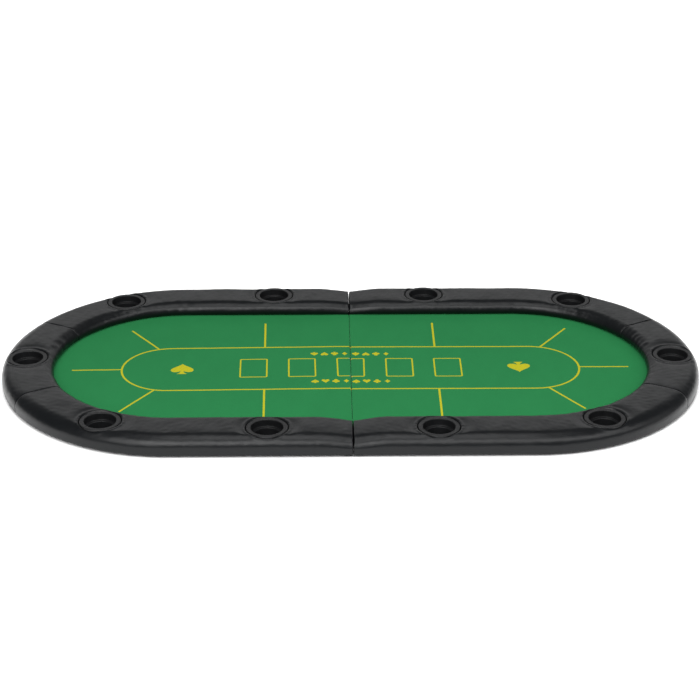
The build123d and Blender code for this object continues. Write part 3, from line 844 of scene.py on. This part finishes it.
def print_shapes(half):
    """The yellow print on one half, drawn on the +X side. The two halves differ in the way that the big
    pip and the small ones face, and in how truly the print lies on the cloth."""
    side = HALVES[half]
    track, track_end = 144.0, 543.0
    fold = -30.0
    wide, narrow = track + LINE / 2, track - LINE / 2
    outer = [(fold, -wide), *arc(track_end, 0, wide, -90, 90, 60), (fold, wide)]
    inner = [(fold, narrow), *arc(track_end, 0, narrow, 90, -90, 60), (fold, -narrow)]
    shapes = [outer + inner]
    for way in (-1, 1):
        shapes.append(stroke(259, way * track, 259, way * 320))
        shapes.append(stroke(583, way * 140, 675, way * 277))
    shapes.append(stroke(687, 0, 836, 0))
    shapes += card_box(0, fold) + card_box(146.5, None) + card_box(292, None)
    shapes += placed(spade(), 506, 0, 68, 69, 180 if side > 0 else 0)
    pips = (spade, heart, club, diamond) if side > 0 else (diamond, club, heart, spade)
    for way in (-1, 1):
        for n, pip in enumerate(pips):
            shapes += placed(pip(), 15.5 + 31 * n, way * 94, 23, 24, 180 if way > 0 else 0)
    # The printing is turned a little on each cloth.
    turn = radians(-0.3 if side > 0 else -0.95)
    c, s = cos(turn), sin(turn)
    return [[(300 + c * (x - 300) - s * y, s * (x - 300) + c * y) for x, y in shape] for shape in shapes]


def felt_piece(half, green, yellow, seed):
    """The playing cloth of one half: a flat cut half-oval with the print in it, bent down over the
    board's edge at the fold."""
    top = LIP + BEND_LENGTH
    border = (
        [(0, -FELT_LIP), (top, -FELT_LIP), (top, -FELT_R)]
        + arc(ARC_X + FLAT_SHIFT, 0, FELT_R, -90, 90, 120)
        + [(top, FELT_R), (top, FELT_LIP), (0, FELT_LIP)]
    )
    step = 15.0
    loose = []
    bent = [LIP + BEND_LENGTH * k / 5 for k in range(1, 5)]
    for n, x in enumerate([LIP * 0.5, LIP, *bent, top, top + 4, *np.arange(top + 14, ARC_X + FELT_R, step)]):
        for y in np.arange(-FELT_R + step, FELT_R - 1, step):
            shift = step / 2 * (n % 2)
            limit = FELT_LIP - 2 if x <= top else FELT_R - 2
            beyond = x - ARC_X - FLAT_SHIFT
            if beyond > 0:
                limit = sqrt(max((FELT_R - 3) ** 2 - beyond**2, 0))
            if abs(y + shift) < limit:
                loose.append((x, y + shift))
    shapes = []
    for shape in print_shapes(half):
        shape = [(max(x + FLAT_SHIFT, 0.0), y) for x, y in shape]
        shapes.append(split_edges(shape, 12.0))
    flat, triangles, printed = triangulate(border, [], shapes, loose)

    x, z = flat[:, 0] - FLAT_SHIFT, np.full(len(flat), FELT_TOP)
    bend = np.clip((flat[:, 0] - LIP) / FOLD_BEND, 0, pi / 2)
    low = flat[:, 0] < top
    x = np.where(low, FOLD_X - FELT_BUTT + (FOLD_BEND + FELT_BUTT) * (1 - np.cos(bend)), x)
    z = np.where(low, FELT_TOP - FOLD_BEND * (1 - np.sin(bend)) - np.clip(LIP - flat[:, 0], 0, None), z)
    wave = ripples(seed, 12, 60, 260)(flat[:, 0], flat[:, 1])
    z = z + 0.16 * (1 + np.clip(wave, -1, 1)) * smooth((flat[:, 0] - top - 4) / 30)
    points = np.stack([x, flat[:, 1], z], axis=1)
    turned = faces_outward(points, triangles, int(np.argmax([flat[list(t), 0].min() for t in triangles])))
    obj = new_object(f"printed_felt_{half}", points, turned, green, HALVES[half] < 0)
    obj.data.materials.append(yellow)
    obj.data.polygons.foreach_set("material_index", [int(p) for p in printed])
    thicken(obj, FELT_T)
    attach(obj, f"{half}_half")
    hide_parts(f"felt_{half}")
    return obj


def split_edges(loop, longest):
    """The same outline with points added so that no edge is longer than longest."""
    points = []
    for (x0, y0), (x1, y1) in zip(loop, loop[1:] + loop[:1]):
        steps = max(1, int(hypot(x1 - x0, y1 - y0) / longest))
        points += [(x0 + (x1 - x0) * k / steps, y0 + (y1 - y0) * k / steps) for k in range(steps)]
    tidy = [points[0]]
    for p in points[1:]:
        if hypot(p[0] - tidy[-1][0], p[1] - tidy[-1][1]) > 1e-3:
            tidy.append(p)
    if hypot(tidy[0][0] - tidy[-1][0], tidy[0][1] - tidy[-1][1]) < 1e-3:
        tidy.pop()
    return tidy


# ---- camera, floor and lights ----
def aim(obj, place, target, roll=0.0):
    way = Vector(target) - Vector(place)
    turn = way.to_track_quat("-Z", "Y").to_matrix() @ Matrix.Rotation(radians(roll), 3, "Z")
    obj.matrix_world = Matrix.Translation(place) @ turn.to_4x4()


def add_camera():
    data = bpy.data.cameras.new("camera")
    data.lens, data.sensor_width, data.clip_end = 99.56, 36.0, 60.0
    camera = bpy.data.objects.new("camera", data)
    bpy.context.scene.collection.objects.link(camera)
    target, distance = Vector((-0.0009, 0.1005, 0.0310)), 5.9091
    height, turn = radians(25.35), radians(-0.82)
    place = target + distance * Vector((sin(turn) * cos(height), -cos(turn) * cos(height), sin(height)))
    aim(camera, place, target, 0.06)
    bpy.context.scene.camera = camera


def add_light(name, turn, height, distance, size, watts):
    """A soft rectangular light that faces the table, turn degrees to the right of the front."""
    data = bpy.data.lights.new(name, "AREA")
    data.shape, data.size, data.size_y = "RECTANGLE", *size
    data.energy = watts
    light = bpy.data.objects.new(name, data)
    bpy.context.scene.collection.objects.link(light)
    a, h = radians(turn), radians(height)
    aim(light, (distance * sin(a) * cos(h), -distance * cos(a) * cos(h), distance * sin(h)), (0, 0, 0))
    return light


def add_studio():
    floor = bpy.data.meshes.new("floor")
    far = 16.0
    corners = [(-far, -far, 0), (far, -far, 0), (far, far, 0), (-far, far, 0)]
    floor.from_pydata(corners, [], [(0, 1, 2, 3)])
    floor_object = bpy.data.objects.new("floor", floor)
    bpy.context.scene.collection.objects.link(floor_object)
    paper = Nodes("paper", base_color=(0.92, 0.92, 0.92, 1), roughness=0.9, specular_ior_level=0.1)
    floor.materials.append(paper.material)
    world = bpy.data.worlds.new("studio")
    world.use_nodes = True
    world.node_tree.nodes["Background"].inputs["Color"].default_value = (1, 1, 1, 1)
    world.node_tree.nodes["Background"].inputs["Strength"].default_value = 0.15
    bpy.context.scene.world = world
    add_light("key", -30, 29, 5.5, (3.8, 2.4), 95)
    add_light("key_high", -30, 50, 5.5, (2.6, 2.0), 60)
    add_light("front", -12, 40, 5.5, (3.0, 2.6), 95)
    add_light("fill", 30, 48, 5.5, (3.0, 2.6), 92)
    add_light("right", 58, 34, 5.5, (2.6, 2.4), 55)
    add_light("side", 80, 22, 5.0, (3.0, 2.4), 16)
    add_light("top", 0, 85, 4.5, (2.4, 2.4), 60)
    add_light("far", 180, 27, 7.0, (11.0, 1.4), 58)
    add_light("far_low", 180, 6, 7.0, (11.0, 1.4), 30)
    # One wide light falls on the paper only, to keep it white.
    wash = add_light("wash", 180, 80, 8.0, (9.0, 8.0), 650)
    paper_only = bpy.data.collections.new("paper_only")
    paper_only.objects.link(floor_object)
    wash.light_linking.receiver_collection = paper_only
    bpy.context.scene.view_settings.view_transform = "Standard"


# ---- everything together ----
def finish_cad_nodes():
    """Gives each CAD node that stays in view its material."""
    made = {
        "base_board": hardboard(),
        "rail_core": plywood(),
        "felt_underlay": underlay(),
        "cup_holder": cup_plastic(),
        "hinge": steel("hinge_steel", (0.62, 0.63, 0.65), (0.42, 0.43, 0.45), 0.26, 0.42),
        "hinge_screws": steel("screw_steel", (0.60, 0.56, 0.44), (0.44, 0.40, 0.30), 0.24, 0.40),
        "rail_screws": steel("screw_steel_dark", (0.52, 0.50, 0.44), (0.36, 0.34, 0.30), 0.30, 0.46),
        "foot_screws": steel("screw_steel_feet", (0.60, 0.56, 0.44), (0.44, 0.40, 0.30), 0.24, 0.40),
        "staples": steel("staple_wire", (0.66, 0.67, 0.68), (0.48, 0.48, 0.50), 0.24, 0.38),
        "rubber_feet": rubber(),
    }
    for name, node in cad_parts.items():
        start = max((key for key in made if name.startswith(key)), key=len, default=None)
        if start:
            node.data.materials.clear()
            node.data.materials.append(made[start])


leather, green, yellow, cream = leathercloth(), felt_green(), felt_print(), foam()
for n, half in enumerate(HALVES):
    covers = [
        rail_cover(half, place, leather, 100 * n + 30 * m + 7)
        for m, place in enumerate(("front", "end", "back"))
    ]
    foam_pad(half, covers, cream)
    felt_piece(half, green, yellow, 400 + n)
finish_cad_nodes()
add_camera()
add_studio()
